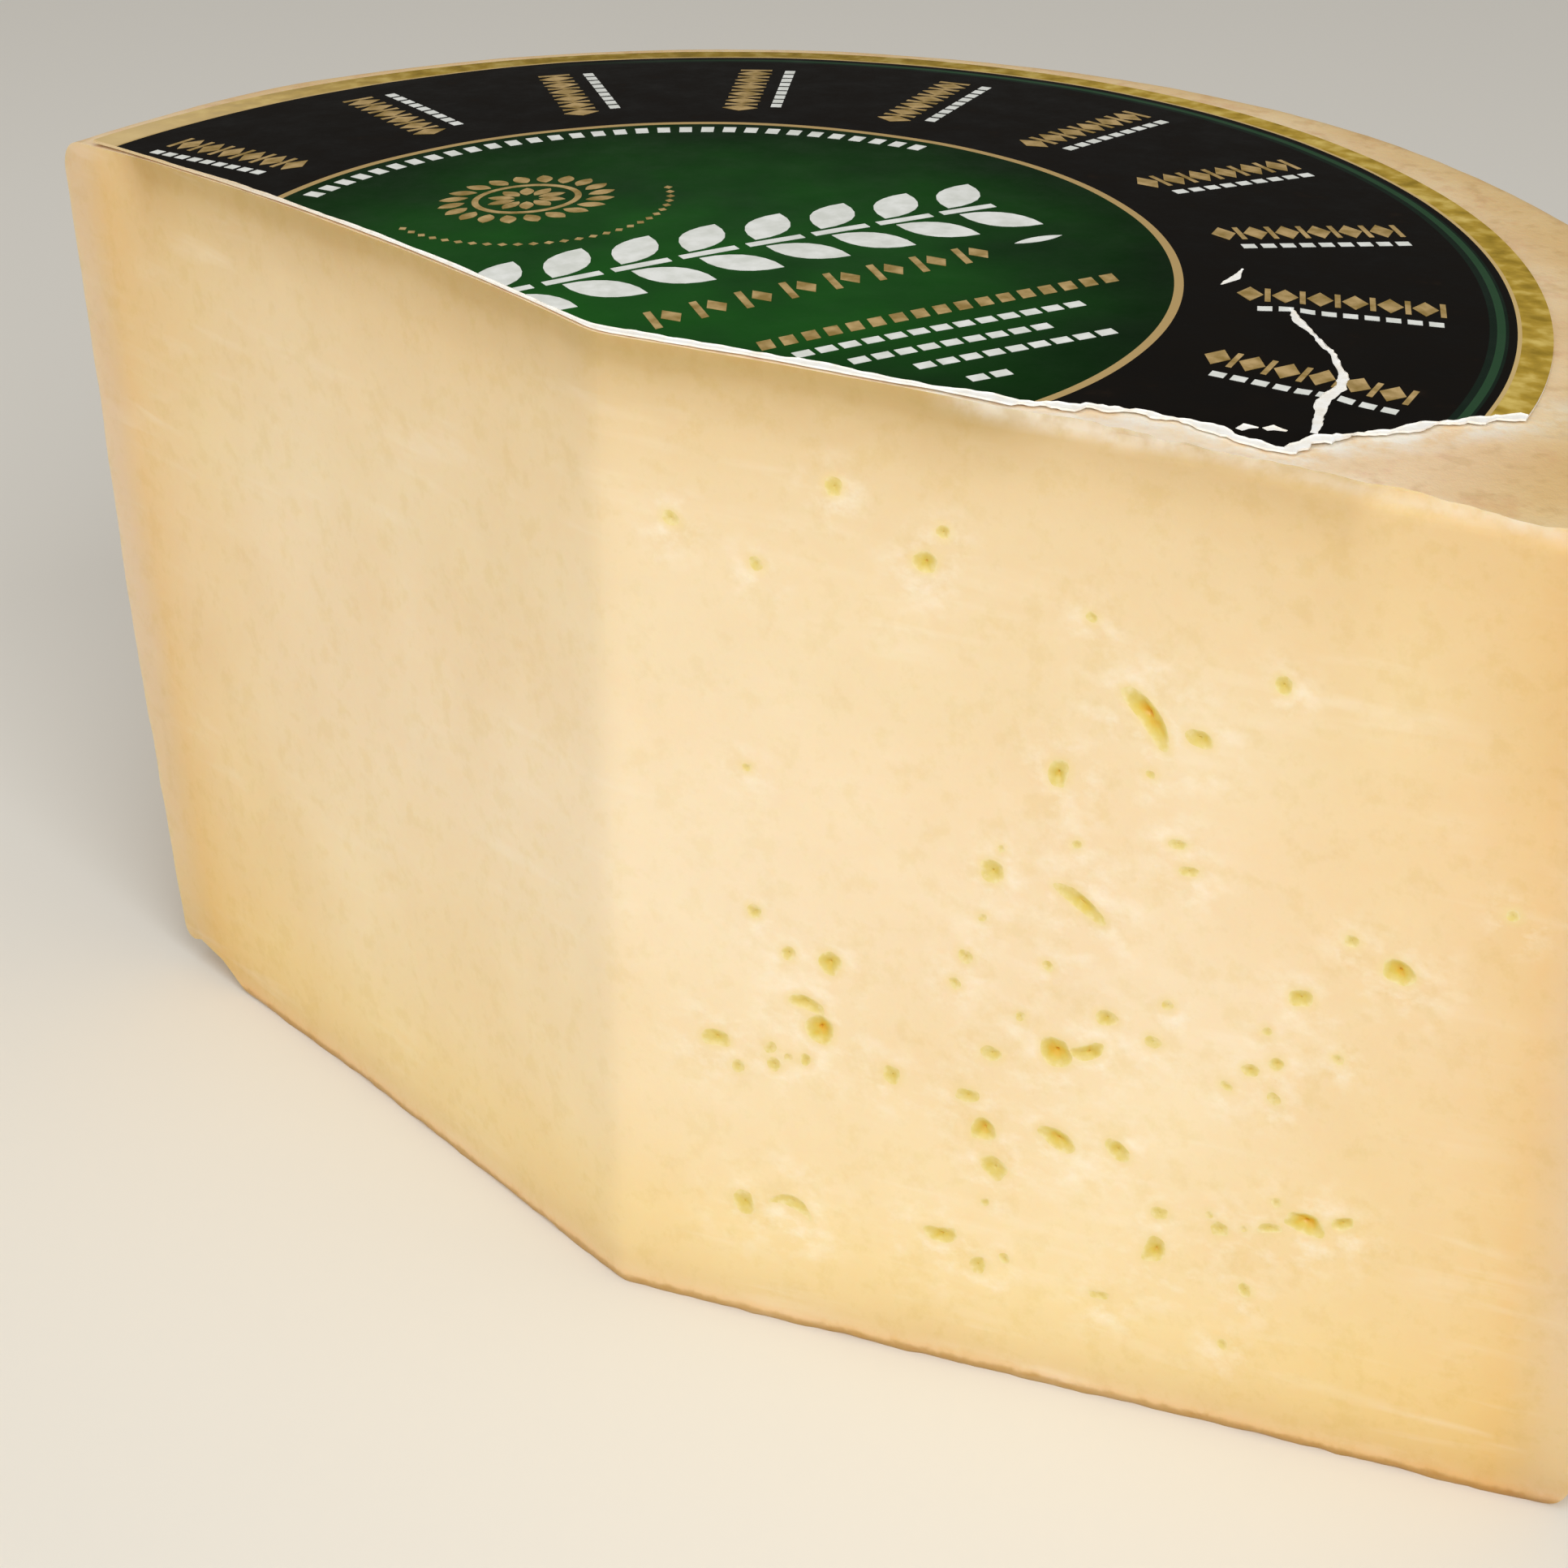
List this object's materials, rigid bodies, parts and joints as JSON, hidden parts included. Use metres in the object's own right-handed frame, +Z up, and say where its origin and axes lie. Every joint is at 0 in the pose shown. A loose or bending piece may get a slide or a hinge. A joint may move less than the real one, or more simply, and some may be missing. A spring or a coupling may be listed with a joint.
{
  "type": "cut half of a cured cheese wheel",
  "caption": "Cured cheese wheel cut to a little under half by two knife strokes, with small eyes in its right cut face and a torn round paper label on its domed top.",
  "frame": {"origin": "on the axis of the wheel that the piece was cut from, in the flat base", "axes": "+Z up through the labelled top; the cut face with the eyes looks towards -Y, the other cut face towards -X and -Y, and the rind wall towards +Y"},
  "size_m": [0.1675, 0.1497, 0.1076],
  "materials": {
    "cheese": "dense cured paste, satin, with small golden eyes and a mottled beige rind",
    "label": "coated printed paper, dark green middle, black ring and dull gold border, white where it is torn"
  },
  "bodies": {
    "root": {"cheese": "cheese", "label": "label"}
  },
  "joints": []
}
